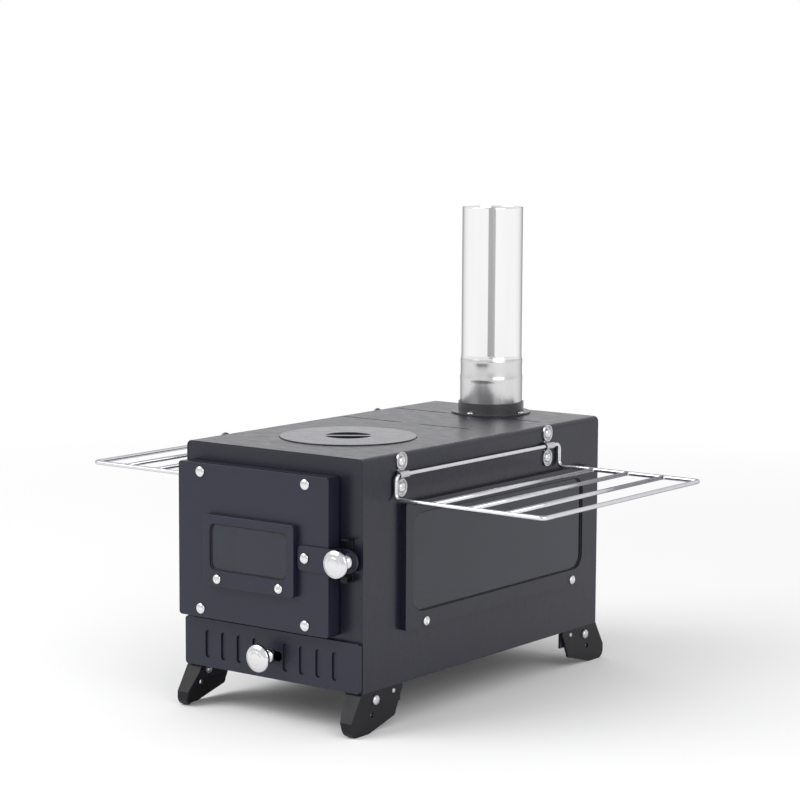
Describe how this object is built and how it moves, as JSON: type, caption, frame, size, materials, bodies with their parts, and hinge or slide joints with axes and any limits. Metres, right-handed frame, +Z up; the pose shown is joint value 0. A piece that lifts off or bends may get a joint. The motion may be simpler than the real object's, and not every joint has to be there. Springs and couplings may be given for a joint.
{
  "type": "folding camp oven",
  "caption": "Small sheet-steel camp oven with a front door, side windows, round cooking lid, ash drawer, chimney pipe and two wire racks that fold up over the top.",
  "frame": {"origin": "centre of the whole outline on the ground under the soles", "axes": "+Z up, -Y towards the door at the front, +X to the right seen from the front"},
  "size_m": [0.505, 0.4084, 0.433],
  "materials": {
    "body_paint": "satin heat-proof paint on sheet steel",
    "door_paint": "satin heat-proof paint on sheet steel",
    "top_paint": "satin heat-proof paint, slightly worn",
    "inner_steel": "sooty sheet steel",
    "cast_black": "matt black steel",
    "foot_paint": "satin black",
    "chrome_trim": "polished",
    "stainless_wire": "drawn stainless wire",
    "stainless_pipe": "rolled stainless sheet",
    "window_glass": "clear heat-proof glass, slightly smoked",
    "glass_fibre": "woven glass-fibre seal",
    "zinc_steel": "zinc-plated steel"
  },
  "bodies": {
    "stove": {"body_shell": "body_paint", "front_frame": "body_paint", "back_panel": "body_paint", "floor_plate": "inner_steel", "base_plate": "body_paint", "fire_grate": "inner_steel", "lid_seat_ring": "inner_steel", "flue_collar": "cast_black", "collar_screws": "chrome_trim", "body_knuckles": "inner_steel", "hinge_pins": "zinc_steel", "latch_catch": "cast_black", "side_glass_right": "window_glass", "side_glass_left": "window_glass", "side_seal_right": "glass_fibre", "side_seal_left": "glass_fibre", "side_window_frame_right": "body_paint", "side_window_frame_left": "body_paint", "side_window_screws_right": "chrome_trim", "side_window_screws_left": "chrome_trim", "rack_clips_right": "foot_paint", "rack_clips_left": "foot_paint", "clip_rivets_right": "chrome_trim", "clip_rivets_left": "chrome_trim", "foot_front_right": "foot_paint", "foot_front_left": "foot_paint", "foot_rear_right": "foot_paint", "foot_rear_left": "foot_paint", "foot_brackets": "body_paint", "foot_bolts": "zinc_steel", "foot_pins": "zinc_steel"},
    "lid": {"cooking_lid": "top_paint", "lid_grip_cup": "cast_black"},
    "chimney": {"chimney_pipe": "stainless_pipe"},
    "drawer": {"ash_tray": "inner_steel", "ash_tray_sides": "inner_steel", "ash_tray_end": "inner_steel", "drawer_front": "door_paint", "air_slide_guides": "inner_steel"},
    "air_control": {"air_slide": "door_paint", "drawer_knob": "chrome_trim"},
    "door": {"door_pan": "door_paint", "door_liner": "inner_steel", "door_rivets": "chrome_trim", "door_rope": "glass_fibre", "door_glass": "window_glass", "door_glass_seal": "glass_fibre", "door_window_frame": "door_paint", "door_window_screws": "chrome_trim", "door_knuckles": "inner_steel", "latch_rivet": "chrome_trim"},
    "latch": {"latch_strap": "cast_black", "latch_knob": "chrome_trim"},
    "rack_right_side": {"rack_right": "stainless_wire"},
    "rack_left_side": {"rack_left": "stainless_wire"}
  },
  "joints": [
    {"name": "door_hinge", "type": "hinge", "parent": "stove", "child": "door", "pos_m": [-0.0896, -0.18505, 0.15175], "axis": [0, 0, -1], "range_deg": [0, 105]},
    {"name": "latch_turn", "type": "hinge", "parent": "door", "child": "latch", "pos_m": [0.0495, -0.19275, 0.1497], "axis": [0, -1, 0], "range_deg": [-9, 10]},
    {"name": "drawer_slide", "type": "slide", "parent": "stove", "child": "drawer", "axis": [0, -1, 0], "range_m": [0, 0.26]},
    {"name": "air_slide_travel", "type": "slide", "parent": "drawer", "child": "air_control", "axis": [1, 0, 0], "range_m": [0, 0.009]},
    {"name": "lid_lift", "type": "slide", "parent": "stove", "child": "lid", "axis": [0, 0, 1], "range_m": [0, 0.06]},
    {"name": "chimney_lift", "type": "slide", "parent": "stove", "child": "chimney", "axis": [0, 0, 1], "range_m": [0, 0.06]},
    {"name": "rack_right_fold", "type": "hinge", "parent": "stove", "child": "rack_right_side", "pos_m": [0.1005, -0.00875, 0.2177], "axis": [0, -1, 0], "range_deg": [0, 178]},
    {"name": "rack_left_fold", "type": "hinge", "parent": "stove", "child": "rack_left_side", "pos_m": [-0.1005, -0.00875, 0.2177], "axis": [0, 1, 0], "range_deg": [0, 168]}
  ]
}
